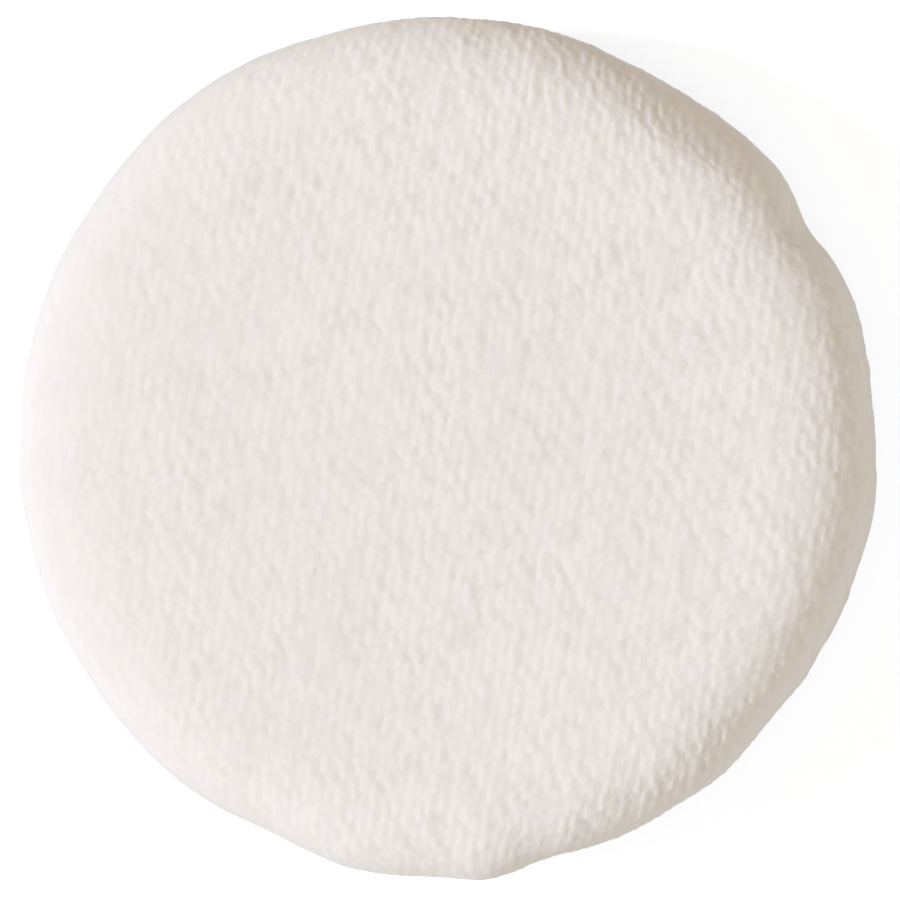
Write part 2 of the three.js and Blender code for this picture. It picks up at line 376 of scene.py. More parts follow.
def rim_of(rings):
    """Places in a disc grid of its outermost points, going round by growing bearing."""
    side = 2 * rings
    grid = np.arange((side + 1) ** 2).reshape(side + 1, side + 1)
    return np.concatenate([grid[side, :-1], grid[:0:-1, side], grid[0, :0:-1], grid[:-1, 0]])


def edge_arc(width, height, base, turn):
    """Radius and height round the edge, from the face (turn 0) down to its base at the widest
    place (a quarter turn): a superellipse, which is an ellipse with fuller shoulders."""
    out = np.sin(turn) ** (2 / EDGE_FULLNESS)
    up = abs(np.cos(turn)) ** (2 / EDGE_FULLNESS)
    return FACE_RADIUS + width * out, base + height * up


def path_along(radius, height):
    """Length of the way along a line from its start to each of its points."""
    return np.concatenate([[0], np.cumsum(np.hypot(np.diff(radius), np.diff(height)))])


def section_at(section, along):
    """Radius and height of a section at a path length from its start."""
    path, radius_table, height_table = section
    return np.interp(along, path, radius_table), np.interp(along, path, height_table)


def section_table(crown, half_thickness):
    """The outer line of a cover, from the middle of its face to its cut edge: path length,
    radius and height above the seam.

    A shallow parabola for the face, a quarter superellipse round the edge, a quarter circle in
    at the fold, and a straight run along the seam allowance.
    """
    turn = np.linspace(0, QUARTER_TURN, EDGE_LINE_POINTS)
    face = np.linspace(0, FACE_RADIUS, FACE_LINE_POINTS)
    edge_radius, edge_height = edge_arc(
        EDGE_ROUND_WIDTH, half_thickness - FOLD_HEIGHT, FOLD_HEIGHT, turn[1:]
    )
    radius = np.concatenate([
        face,
        edge_radius,
        EDGE_RADIUS - FOLD_RADIUS + FOLD_RADIUS * np.cos(turn[1:]),
        [ALLOWANCE_INNER_RADIUS],
    ])
    height = np.concatenate([
        half_thickness + crown * (1 - (face / FACE_RADIUS) ** 2),
        edge_height,
        FOLD_HEIGHT - FOLD_RADIUS * np.sin(turn[1:]),
        [PILE_FACE],
    ])
    return path_along(radius, height), radius, height


def evened(values):
    """Values moved and scaled to a mean of 0 and a spread of 1."""
    return (values - values.mean()) / values.std()


def turned(across, up, bearing):
    """Places measured along a bearing and beside it, instead of across and up."""
    along = across * np.cos(bearing) + up * np.sin(bearing)
    beside = up * np.cos(bearing) - across * np.sin(bearing)
    return along, beside


def combed_noise(across, up, width, length, bearing, shift):
    """Soft noise drawn out along a bearing, less the mean of four points a stroke away, which
    keeps the strokes all of about one size. Its mean is 0 and its spread 1."""
    along, beside = turned(across, up, bearing)
    beside = beside * length / width
    strokes = soft_noise(beside, along, length, shift)
    for step_beside, step_along in ((-1, 0), (1, 0), (0, -1), (0, 1)):
        around_beside = beside + step_beside * length
        around_along = along + step_along * length
        strokes = strokes - soft_noise(around_beside, around_along, length, shift) / 4
    return evened(strokes)


def knit_tufts(across, up):
    """The knit's own tufts, one at each lattice point.

    A tuft is two bell-shaped mounds one behind the other, the full end and the lower tail. Each
    tuft is nudged off its place, turned a little and given its own height and length, and the
    mounds of neighbours add up.
    """
    steps_across = np.linalg.inv(TUFT_STEPS.T)
    column = steps_across[0, 0] * across + steps_across[0, 1] * up
    row = steps_across[1, 0] * across + steps_across[1, 1] * up
    near_column = np.floor(column).astype(int)
    near_row = np.floor(row).astype(int)
    total = np.zeros_like(across)
    for step_column in (-1, 0, 1, 2):
        for step_row in (-1, 0, 1, 2):
            at_column = near_column + step_column
            at_row = near_row + step_row

            def chance(kind):
                """A tuft's own random value from 0 to 1, read elsewhere for each kind."""
                return NOISE_TABLE[
                    (at_column + 61 * kind) % NOISE_SIZE, (at_row + 29 * kind) % NOISE_SIZE
                ]

            place_column = at_column + TUFT_NUDGE_SHARE * (chance(0) - 0.5)
            place_row = at_row + TUFT_NUDGE_SHARE * (chance(1) - 0.5)
            away_across = across - place_column * TUFT_STEPS[0, 0] - place_row * TUFT_STEPS[1, 0]
            away_up = up - place_column * TUFT_STEPS[0, 1] - place_row * TUFT_STEPS[1, 1]
            bearing = TUFT_BEARING + TUFT_TURN_CHANCE * (chance(2) - 0.5)
            along, beside = turned(away_across, away_up, bearing)
            length_share = TUFT_LEAST_LENGTH_SHARE + TUFT_LENGTH_CHANCE_SHARE * chance(3)
            length = TUFT_LENGTH * length_share
            full_end = np.exp(-(((along + TAIL_DISTANCE / 2) / length) ** 2))
            tail = TAIL_SHARE * np.exp(-(((along - TAIL_DISTANCE / 2) / length) ** 2))
            height = TUFT_LEAST_HEIGHT + chance(4)
            total += height * np.exp(-((beside / TUFT_WIDTH) ** 2)) * (full_end + tail)
    return evened(total)


def wandered(across, up, reach, span, shifts):
    """Places moved softly about, half a reach each way at most. The noise has a shift for each
    of the two ways."""
    moves = [reach * (soft_noise(across, up, span, shift) - 0.5) for shift in shifts]
    return across + moves[0], up + moves[1]


def pile_height(across, up):
    """Height of the pile over flat cloth, from 0 deep between the tufts to 1 on the tallest.

    The knit's tufts on a slightly loose lattice, with strokes of the nap brushed over them that
    swirl a little, as combed noise. The whole is a little stronger in some patches than in
    others. The last numbers of each noise are its shifts, so that no two are alike.
    """
    height = knit_tufts(*wandered(across, up, KNIT_LOOSENESS, KNIT_LOOSE_SPAN, (9, 19)))
    brushed = wandered(across, up, SWIRL, SWIRL_SPAN, (61, 67))
    for count, (width, length, bearing, weight) in enumerate(NAP_STROKES):
        height += weight * combed_noise(*brushed, width, length, bearing, 5 + 36 * count)
    small_patches = soft_noise(across, up, SMALL_PATCH, 3)
    large_patches = soft_noise(across, up, LARGE_PATCH, 23)
    patches = SMALL_PATCH_SHARE * small_patches + (1 - SMALL_PATCH_SHARE) * large_patches
    height = evened(height) * (1 + PATCHINESS * evened(patches))
    return np.clip(PILE_MEAN + PILE_SPREAD * height, 0, 1)


def on_section(section, along, bearing):
    """Points at a given path length along a cover's section and a given bearing, with the
    gathers but no pile."""
    radius, height = section_at(section, along)
    return round_points(gathered(radius, bearing), bearing, height)


def grid_quads(rings):
    """The faces of a disc grid, facing up."""
    side = 2 * rings + 1
    grid = np.arange(side * side).reshape(side, side)
    corners = [grid[:-1, :-1], grid[1:, :-1], grid[1:, 1:], grid[:-1, 1:]]
    return np.stack(corners, axis=-1).reshape(-1, 4)


def settled_cloth(name, section):
    """How far a cover's cloth moves when it settles: a coarse copy of the cover, held along its
    seam allowance, is cut a little too wide and blown up softly from inside as cloth.

    The plain swelling is taken off again, which is the mean movement of each ring outwards and
    upwards, because the section already has the filled shape. The rest is held to a small
    length, and counts fully in the groove at the seam and little on the smooth face and edge.
    """
    path = section[0]
    out, bearing = disc_grid(CLOTH_RINGS)
    along = out * path[-1]
    start = on_section(section, along, bearing)
    trial_points = TRIAL_SCALE * start.reshape(-1, 3)
    trial = mesh_piece(name + "_trial", trial_points, [grid_quads(CLOTH_RINGS)])
    held = np.flatnonzero(along.ravel() > path[-1] - (STITCH_RADIUS - ALLOWANCE_INNER_RADIUS))
    trial.vertex_groups.new(name="seam").add(held.tolist(), 1, "REPLACE")
    cloth = trial.modifiers.new("settle", "CLOTH")
    cloth.point_cache.frame_end = TRIAL_FRAMES
    cloth.settings.quality = 6
    cloth.settings.mass = 0.3
    cloth.settings.bending_stiffness = 0.5
    cloth.settings.shrink_min = -EASE_SHARE
    cloth.settings.vertex_group_mass = "seam"
    cloth.settings.use_pressure = True
    cloth.settings.uniform_pressure_force = TRIAL_PRESSURE
    cloth.settings.effector_weights.gravity = 0
    for step in range(1, TRIAL_FRAMES + 1):
        bpy.context.scene.frame_set(step)
    settled = trial.evaluated_get(bpy.context.evaluated_depsgraph_get())
    places = np.empty(start.size, dtype=np.float32)
    settled.data.vertices.foreach_get("co", places)
    bpy.data.objects.remove(trial)
    bpy.context.scene.frame_set(1)
    moved = places.reshape(start.shape) / TRIAL_SCALE - start
    outwards = np.stack([np.cos(bearing), np.sin(bearing)], axis=-1)
    swelling = np.concatenate([
        ring_means(np.sum(moved[..., :2] * outwards, axis=-1), out)[..., None] * outwards,
        ring_means(moved[..., 2], out)[..., None],
    ], axis=-1)
    moved = moved - swelling
    size = np.linalg.norm(moved, axis=-1, keepdims=True)
    moved = moved * np.minimum(1, MOST_SWAY / np.maximum(size, MOST_SWAY))
    seam_share = smoothstep(along, path[-1] - SEAM_REACH, path[-1] - SEAM_FULL_SWAY)
    return moved * (FACE_SWAY_SHARE + (1 - FACE_SWAY_SHARE) * seam_share)[..., None]


def ring_means(values, out):
    """Each value of a disc grid replaced by the mean of its ring."""
    ring = np.rint(out * CLOTH_RINGS).astype(int)
    return (np.bincount(ring.ravel(), values.ravel()) / np.bincount(ring.ravel()))[ring]


def refined(values, count):
    """The rows of a grid, drawn again at a given count of even places with smooth cubic curves
    through them (Catmull-Rom)."""
    last = len(values) - 1
    place = np.linspace(0, last, count)
    before = np.minimum(np.floor(place).astype(int), last - 1)
    t = (place - before)[:, None, None]
    weights = [
        (-t + 2 * t**2 - t**3) / 2,
        (2 - 5 * t**2 + 3 * t**3) / 2,
        (t + 4 * t**2 - 3 * t**3) / 2,
        (-(t**2) + t**3) / 2,
    ]
    return sum(
        weight * values[np.clip(before + step, 0, last)]
        for step, weight in zip((-1, 0, 1, 2), weights)
    )


def pile_opening(along, bearing, cloth_x, cloth_y):
    """How strongly the pile's height differs from its mean, as a share: it changes along the
    path, and is calmer to the left, to the bottom and round the left edge."""
    opened = FACE_OPENING_SHARE
    for span, change in OPENING_CHANGE_SHARES:
        opened = opened + change * over_span(along, span)
    opened *= 1 - LEFT_CALM_SHARE * over_span(-cloth_x, LEFT_CALM_SPAN_SHARES)
    opened *= 1 - BOTTOM_CALM_SHARE * over_span(-cloth_y, BOTTOM_CALM_SPAN_SHARES)
    left_side = smoothstep(-np.cos(bearing), LEFT_EDGE_LEAST_SHARE, 1)
    left_edge = over_span(along, LEFT_EDGE_CALM_SPAN_SHARES)
    return opened * (1 - LEFT_EDGE_CALM_SHARE * left_side * left_edge)


def pile_lift(path, along, bearing, cloth_x, cloth_y, pile):
    """How far the cloth's surface stands off the smooth section: the pile's own depth below its
    tallest tufts, deeper over the shoulder, with the filling's swells, and with puckers that
    grow towards the seam."""
    bend = over_span(along, BEND_SPAN_SHARES)
    rim = over_span(along, RIM_SPAN_SHARES)
    depth = PILE_RELIEF * (1 + bells(BEND_OPENING_SHARES, bearing) * bend)
    depth *= 1 + bells(RIM_OPENING_SHARES, bearing) * rim
    swell = sum(
        height * (soft_noise(cloth_x, cloth_y, size, shift) - 0.5)
        for height, size, shift in SWELLS
    )
    pucker = sum(
        weight * (soft_noise(EDGE_RADIUS * bearing, along, STITCH_LENGTH / count, shift) - 0.5)
        for count, weight, shift in PUCKERS
    )
    widest = path[-1] - ALLOWANCE_WIDTH - QUARTER_TURN * FOLD_RADIUS
    drawn = smoothstep(along, widest - PUCKER_REACH, widest + FOLD_RADIUS) ** 2
    return depth * (pile - 1) + swell + PUCKER_DEPTH * pucker * drawn


def cover_surface(rings, section, cloth_shift, bottom, sway):
    """A cover's outer surface on a disc grid: its points, the pile's height and the cloth's
    own flat coordinates.

    Each point goes along the section by its share of the whole path and round by its bearing.
    It stands off along the section's normal by the pile's lift, which dies away on the seam
    allowance. Then the face sinks where the filling slumps, the side drops under the shoulder,
    the shoulder is pulled flatter, and the seam's gathers draw the radius in or let it out. The
    sway of the settled cloth comes last, redrawn on a grid as fine as the surface.
    """
    path = section[0]
    out, bearing = disc_grid(rings)
    along = out * path[-1]
    radius, height = section_at(section, along)
    radius_ahead, height_ahead = section_at(section, along + SLOPE_STEP)
    radius_behind, height_behind = section_at(section, along - SLOPE_STEP)
    run = radius_ahead - radius_behind
    fall = height_ahead - height_behind
    slope_length = np.hypot(fall, run)
    cloth_x = along * np.cos(bearing) + cloth_shift
    cloth_y = along * np.sin(bearing) - cloth_shift
    pile = pile_height(cloth_x, cloth_y)
    pile = PILE_MEAN + (pile - PILE_MEAN) * pile_opening(along, bearing, cloth_x, cloth_y)
    free = 1 - smoothstep(along, path[-1] - FULL_PILE_REACH, path[-1] - FLAT_PILE_REACH)
    lift = pile_lift(path, along, bearing, cloth_x, cloth_y, pile) * free
    radius = radius + lift * -fall / slope_length
    height = height + lift * run / slope_length
    height -= bells(SLUMPS, bearing) * smoothstep(along, SLUMP_START, SLUMP_END) * free
    dropped = smoothstep(along, DROP_START, DROP_END) * (1 - smoothstep(along, DROP_END, DROP_GONE))
    height -= bells(SIDE_DROPS, bearing) * dropped
    shoulder = np.exp(-(((along - SHOULDER_PLACE) / SHOULDER_SPREAD) ** 2))
    radius = gathered(radius * (1 - bells(SHOULDER_SHARES, bearing) * shoulder), bearing)
    points = round_points(radius, bearing, height)
    count = 2 * rings + 1
    points += np.swapaxes(refined(np.swapaxes(refined(sway, count), 0, 1), count), 0, 1)
    points[..., 2] = np.clip(points[..., 2], PILE_FACE, bottom)
    return points, pile, cloth_x, cloth_y


def lining_rings(crown, half_thickness):
    """The inner line of a cover from its cut edge back towards the middle, as radius and height:
    flat over the seam allowance, up the inside of the rounded edge, and in under the face."""
    turn = np.linspace(QUARTER_TURN, 0, LINING_LINE_POINTS)
    edge_width = EDGE_ROUND_WIDTH - VELOUR_THICKNESS
    edge_rise = half_thickness - FOLD_HEIGHT - VELOUR_THICKNESS
    edge_radius, edge_height = edge_arc(edge_width, edge_rise, FOLD_HEIGHT, turn)
    ceiling_shares = np.array([0.7, 0.35])
    radius = np.concatenate([
        [ALLOWANCE_INNER_RADIUS, EDGE_RADIUS - VELOUR_THICKNESS],
        edge_radius,
        FACE_RADIUS * ceiling_shares,
    ])
    height = np.concatenate([
        [ALLOWANCE_TOP, ALLOWANCE_TOP],
        edge_height,
        half_thickness - VELOUR_THICKNESS + crown * (1 - ceiling_shares ** 2),
    ])
    return radius, height


def closed_cover(surface, rings, crown, half_thickness, flip):
    """Points and faces of a whole cover: the surface, its lining and a cap in the lining's middle.

    The surface's outermost ring is repeated at each of the lining's radii and heights, and
    neighbouring rings are joined by quads.
    """
    rim = rim_of(rings)
    bearing = disc_grid(rings)[1].ravel()[rim]
    radius, height = lining_rings(crown, half_thickness)
    lining = round_points(gathered(radius[:, None], bearing), bearing, height[:, None])
    first = (2 * rings + 1) ** 2
    numbers = first + np.arange(lining.shape[0] * rim.size).reshape(lining.shape[0], rim.size)
    loops = np.vstack([rim, numbers])
    onward = np.roll(loops, -1, axis=1)
    strips = np.stack([onward[:-1], loops[:-1], loops[1:], onward[1:]], axis=-1)
    middle = first + numbers.size
    cap = np.stack([onward[-1], loops[-1], np.full(rim.size, middle)], axis=-1)
    centre = [[0, 0, half_thickness - VELOUR_THICKNESS + crown]]
    points = np.vstack([surface.reshape(-1, 3), lining.reshape(-1, 3), centre])
    faces = [grid_quads(rings), strips.reshape(-1, 4), cap]
    if flip:
        points = points * (1, 1, -1)
        faces = [part[:, ::-1] for part in faces]
    points[:, 2] += SEAM_HEIGHT
    return points, faces


def mesh_piece(name, points, faces):
    """A mesh object from an array of points and a list of arrays of equal-sided faces."""
    sides = np.concatenate([np.full(len(part), part.shape[1]) for part in faces])
    corners = np.concatenate([part.ravel() for part in faces])
    mesh = bpy.data.meshes.new(name)
    mesh.vertices.add(len(points))
    mesh.vertices.foreach_set("co", np.asarray(points, dtype=np.float32).ravel())
    mesh.loops.add(len(corners))
    mesh.loops.foreach_set("vertex_index", corners.astype(np.int32))
    mesh.polygons.add(len(sides))
    starts = np.concatenate([[0], np.cumsum(sides)[:-1]])
    mesh.polygons.foreach_set("loop_start", starts.astype(np.int32))
    mesh.polygons.foreach_set("use_smooth", np.ones(len(sides), dtype=bool))
    mesh.update(calc_edges=True)
    mesh.validate()
    piece = bpy.data.objects.new(name, mesh)
    bpy.context.scene.collection.objects.link(piece)
    return piece


def keep_values(piece, name, values):
    """Stores one number for each point of a piece, for its material to read."""
    attribute = piece.data.attributes.new(name, "FLOAT", "POINT")
    attribute.data.foreach_set("value", np.asarray(values, dtype=np.float32).ravel())


def keep_cloth_map(piece, flat):
    """A UV map of a piece's points: the cloth's own flat coordinates, in centimetres."""
    corners = np.empty(len(piece.data.loops), dtype=np.int32)
    piece.data.loops.foreach_get("vertex_index", corners)
    places = flat[corners] * CENTIMETRES_IN_A_METRE
    layer = piece.data.uv_layers.new(name="cloth")
    layer.data.foreach_set("uv", places.astype(np.float32).ravel())


def make_cover(name, rings, crown, half_thickness, cloth_shift, bottom, flip):
    """One velour cover, whole: pile side, seam allowance and lining.

    The cover is worked out above the seam's plane, and the back one is then flipped below it.
    Nothing of it reaches past the height called bottom, so the back rests flat on the table.
    """
    section = section_table(crown, half_thickness)
    sway = settled_cloth(name, section)
    surface, pile, cloth_x, cloth_y = cover_surface(rings, section, cloth_shift, bottom, sway)
    points, faces = closed_cover(surface, rings, crown, half_thickness, flip)
    cover = mesh_piece(name, points, faces)
    lining = points[pile.size:, :2]
    # The kept pile height also sets the velour's painted shade between the tufts.
    keep_values(cover, "pile", np.append(pile, np.full(len(lining), LINING_PILE)))
    flat = np.stack([cloth_x, cloth_y], axis=-1).reshape(-1, 2)
    keep_cloth_map(cover, np.vstack([flat, lining]))
    return cover


def pad_line():
    """The foam pad's outline in section, from the middle of its face to its waist: path length,
    radius and height above the seam.

    The face, a quarter superellipse round the edge, then in over the seam allowance and its
    threads, and a quarter circle down into the groove that the allowances press into the foam.
    """
    channel_height = ALLOWANCE_TOP + THREAD_CLEARANCE + THREAD_DIAMETER + PAD_CLEARANCE
    channel_radius = ALLOWANCE_INNER_RADIUS - PAD_CLEARANCE
    edge_width = EDGE_ROUND_WIDTH - VELOUR_THICKNESS - 2 * PAD_CLEARANCE
    face_height = BACK_HALF_THICKNESS - VELOUR_THICKNESS - PAD_CLEARANCE
    turn = np.linspace(0, QUARTER_TURN, PAD_LINE_POINTS)
    edge_radius, edge_height = edge_arc(
        edge_width, face_height - channel_height, channel_height, turn
    )
    corner_radius = channel_radius + PAD_CLEARANCE * (1 - np.sin(turn))
    corner_height = channel_height - PAD_CLEARANCE * (1 - np.cos(turn))
    radius = np.concatenate([[0], edge_radius, corner_radius, [channel_radius]])
    height = np.concatenate([[face_height], edge_height, corner_height, [0]])
    return path_along(radius, height), radius, height


def make_pad():
    """The foam pad: its outline turned about the axis on two disc grids, which share the ring
    at the waist. Soft cells dent its faces and its edge, but not the waist. Each half reads the
    cells at a shift of its own."""
    section = pad_line()
    out, bearing = disc_grid(PAD_RINGS)
    radius, height = section_at(section, out * section[0][-1])
    halves = []
    for shift, crown in ((0, FACE_CROWN), (BACK_FOAM_SHIFT, 0)):
        x = radius * np.cos(bearing) + shift
        y = radius * np.sin(bearing)
        cells = soft_noise(x, y + height, *FINE_CELLS) + soft_noise(x + height, y, *BROAD_CELLS)
        dent = PAD_DENT * (cells / 2 - 1) * (1 - smoothstep(out, PAD_WAIST_SHARE, 1))
        crowned = height + dent + crown * np.clip(1 - (radius / FACE_RADIUS) ** 2, 0, 1)
        place = gathered(radius + dent * smoothstep(radius, FACE_RADIUS, EDGE_RADIUS), bearing)
        halves.append(round_points(place, bearing, crowned).reshape(-1, 3))
    upper, lower = halves
    lower = lower * (1, 1, -1)
    rim = rim_of(PAD_RINGS)
    quads = grid_quads(PAD_RINGS)
    inside = np.setdiff1d(np.arange(len(lower)), rim)
    number = np.empty(len(lower), dtype=int)
    number[rim] = rim
    number[inside] = len(upper) + np.arange(len(inside))
    points = np.vstack([upper, lower[inside]]) + (0, 0, SEAM_HEIGHT)
    return mesh_piece("foam_filling", points, [quads, number[quads][:, ::-1]])


def by_seam(bearing, along, radius, height):
    """A point by the seam: a bearing, a distance along the edge from it, a radius and a height."""
    angle = bearing + along / radius
    return [radius * math.cos(angle), radius * math.sin(angle), height]


def needle_line():
    """The needle thread's corners: along the front allowance, and at each stitch down through
    the cloth in a loop that hangs just past the middle."""
    points = []
    for bearing in STITCH_BEARINGS:
        for side in (-1, 1):
            leg = side * THREAD_SPACING
            bend = side * (THREAD_SPACING + STITCH_CORNER)
            turn = [
                by_seam(bearing, bend, STITCH_RADIUS, RUN_HEIGHT),
                by_seam(bearing, leg, STITCH_RADIUS, RUN_HEIGHT - STITCH_CORNER),
                by_seam(bearing, leg, STITCH_RADIUS, -HOOK_HEIGHT),
            ]
            points += turn if side < 0 else turn[::-1]
    return points


def bobbin_line():
    """The bobbin thread's corners: along the back allowance, and at each stitch up through the
    needle thread's loop, from one side of the stitch line to the other."""
    points = []
    for count, bearing in enumerate(STITCH_BEARINGS):
        start = THREAD_SPACING if count % 2 else -THREAD_SPACING
        for side in (-1, 1):
            radius = STITCH_RADIUS - side * start
            turn = [
                by_seam(bearing, side * STITCH_CORNER, radius, -RUN_HEIGHT),
                by_seam(bearing, 0, radius, STITCH_CORNER - RUN_HEIGHT),
                by_seam(bearing, 0, radius, HOOK_HEIGHT),
            ]
            points += turn if side < 0 else turn[::-1]
    return points


def ladder_line():
    """The closing thread's corners: rungs across the groove between the two folds, and rails
    that run hidden inside the front fold and the back fold in turn."""
    rail_radius = EDGE_RADIUS - FOLD_RADIUS
    rung_radius = EDGE_RADIUS - RUNG_INSET
    rungs = round(CLOSING_LENGTH / LADDER_PITCH)
    pitch = LADDER_PITCH / rail_radius
    points = [by_seam(CLOSING_BEARING - (rungs + 1) / 2 * pitch, 0, rail_radius, FOLD_HEIGHT)]
    for count in range(rungs):
        bearing = CLOSING_BEARING + (count - (rungs - 1) / 2) * pitch
        down = -1 if count % 2 else 1
        points += [
            by_seam(bearing, 0, rail_radius, down * FOLD_HEIGHT),
            by_seam(bearing, 0, rung_radius, down * RUNG_REACH),
            by_seam(bearing, 0, rung_radius, -down * RUNG_REACH),
            by_seam(bearing, 0, rail_radius, -down * FOLD_HEIGHT),
        ]
    points.append(by_seam(CLOSING_BEARING + (rungs + 1) / 2 * pitch, 0, rail_radius, points[-1][2]))
    return points


def rounded_line(corners, cut):
    """A line through the given corners, with each corner rounded by a parabola that starts and
    ends the given length away from it, or less where the corners are close together."""
    corners = np.array(corners)
    stretch = np.diff(corners, axis=0)
    length = np.linalg.norm(stretch, axis=1)
    into, away = stretch[:-1] / length[:-1, None], stretch[1:] / length[1:, None]
    near = np.minimum(cut, np.minimum(length[:-1], length[1:]) / 2)[:, None]
    share = np.linspace(0, 1, BEND_POINTS)[None, :, None]
    first = (corners[1:-1] - near * into)[:, None]
    last = (corners[1:-1] + near * away)[:, None]
    middle = corners[1:-1][:, None]
    bend = first * (1 - share) ** 2 + 2 * middle * share * (1 - share) + last * share**2
    return np.vstack([corners[:1], bend.reshape(-1, 3), corners[-1:]])


def make_thread(name, corners):
    """A sewing thread of three twisted plies along a rounded line.

    The section is a circle whose radius swells and shrinks once for each ply, and it turns
    evenly along the line. Its sideways direction is outwards from the axis, or along the edge
    where the thread itself runs outwards. The seam's gathers move the thread as they move the
    covers. Each end is closed by a point.
    """
    line = rounded_line(corners, THREAD_BEND)
    step = np.linalg.norm(np.diff(line, axis=0), axis=1)
    line = line[np.concatenate([[True], step > 1e-9])]
    path = np.concatenate([[0], np.cumsum(np.linalg.norm(np.diff(line, axis=0), axis=1))])
    count = int(path[-1] / THREAD_STEP)
    places = np.linspace(0, path[-1], count)
    centre = np.stack([np.interp(places, path, line[:, axis]) for axis in range(3)], axis=-1)
    heading = np.gradient(centre, axis=0)
    heading /= np.linalg.norm(heading, axis=1, keepdims=True)
    bearing = np.arctan2(centre[:, 1], centre[:, 0])
    outwards = round_points(1, bearing, 0)
    round_edge = np.stack([-np.sin(bearing), np.cos(bearing), 0 * bearing], axis=-1)
    level = abs(np.sum(heading * outwards, axis=1, keepdims=True))
    side = outwards * (1 - level) + round_edge * level
    side -= heading * np.sum(side * heading, axis=1, keepdims=True)
    side /= np.linalg.norm(side, axis=1, keepdims=True)
    over = np.cross(heading, side)
    angle = np.linspace(0, FULL_TURN, THREAD_SIDES, endpoint=False)
    lobe = np.cos(PLY_COUNT * (angle[None] - FULL_TURN * places[:, None] / PLY_PITCH))
    radius = THREAD_DIAMETER / 2 * (1 - PLY_RELIEF_SHARE + PLY_RELIEF_SHARE * lobe)
    tube = (
        centre[:, None]
        + (radius * np.cos(angle))[..., None] * side[:, None]
        + (radius * np.sin(angle))[..., None] * over[:, None]
    )
    tube_radius = np.hypot(tube[..., 0], tube[..., 1])
    tube_bearing = np.arctan2(tube[..., 1], tube[..., 0])
    tube[..., :2] *= (gathered(tube_radius, tube_bearing) / tube_radius)[..., None]
    ends = np.stack([tube[0].mean(axis=0), tube[-1].mean(axis=0)])
    points = np.vstack([tube.reshape(-1, 3), ends]) + (0, 0, SEAM_HEIGHT)
    number = np.arange(count * THREAD_SIDES).reshape(count, THREAD_SIDES)
    onward = np.roll(number, -1, axis=1)
    quads = np.stack([number[:-1], onward[:-1], onward[1:], number[1:]], axis=-1)
    start_cap = np.stack([onward[0], number[0], np.full(THREAD_SIDES, len(points) - 2)], axis=-1)
    end_cap = np.stack([number[-1], onward[-1], np.full(THREAD_SIDES, len(points) - 1)], axis=-1)
    thread = mesh_piece(name, points, [quads.reshape(-1, 4), start_cap, end_cap])
    # The ply values also set the thread's painted shade in the grooves between plies.
    keep_values(thread, "ply", np.concatenate([lobe.ravel(), [0, 0]]))
    return thread


def set_inputs(tree, node, inputs):
    """Sets a node's inputs, given by name or place, to plain values or other nodes' outputs."""
    for name, value in inputs.items():
        if isinstance(value, bpy.types.NodeSocket):
            tree.links.new(value, node.inputs[name])
        else:
            node.inputs[name].default_value = value


def add_node(tree, kind, inputs):
    """A new node with its inputs set."""
    node = tree.nodes.new(kind)
    set_inputs(tree, node, inputs)
    return node


def new_material(name):
    """A node material with one plain shader: the material, its node tree and the shader."""
    material = bpy.data.materials.new(name)
    material.use_nodes = True
    tree = material.node_tree
    tree.nodes.clear()
    output = tree.nodes.new("ShaderNodeOutputMaterial")
    shader = tree.nodes.new("ShaderNodeBsdfPrincipled")
    set_inputs(tree, output, {"Surface": shader.outputs[0]})
    return material, tree, shader


def kept_values(tree, name):
    """The numbers that a piece keeps under a name, one for each of its points."""
    attribute = tree.nodes.new("ShaderNodeAttribute")
    attribute.attribute_name = name
    return attribute.outputs["Fac"]


def colour_steps(tree, place, steps):
    """The colour at a place from 0 to 1 along a ramp through the given places and linear
    colours."""
    ramp = add_node(tree, "ShaderNodeValToRGB", {"Fac": place})
    elements = ramp.color_ramp.elements
    elements[0].position, elements[0].color = steps[0][0], (*steps[0][1], 1)
    elements[1].position, elements[1].color = steps[-1][0], (*steps[-1][1], 1)
    for position, colour in steps[1:-1]:
        elements.new(position).color = (*colour, 1)
    return ramp.outputs["Color"]


def noise_texture(tree, vector, scale, detail):
    """A noise read at a vector, with so many bumps to the vector's unit."""
    inputs = {"Vector": vector, "Scale": scale, "Detail": detail}
    return add_node(tree, "ShaderNodeTexNoise", inputs)


def blended(tree, blend, share, under, over):
    """One colour laid over another by a blend, to a share."""
    mix = tree.nodes.new("ShaderNodeMix")
    mix.data_type = "RGBA"
    mix.blend_type = blend
    set_inputs(tree, mix, {"Factor": share, "A": under, "B": over})
    return mix.outputs["Result"]


def add_bump(tree, shader, height, strength, distance):
    """Makes a shader's surface look raised where a node's output is high."""
    inputs = {"Strength": strength, "Distance": distance, "Height": height}
    bump = add_node(tree, "ShaderNodeBump", inputs)
    set_inputs(tree, shader, {"Normal": bump.outputs[0]})
    return bump


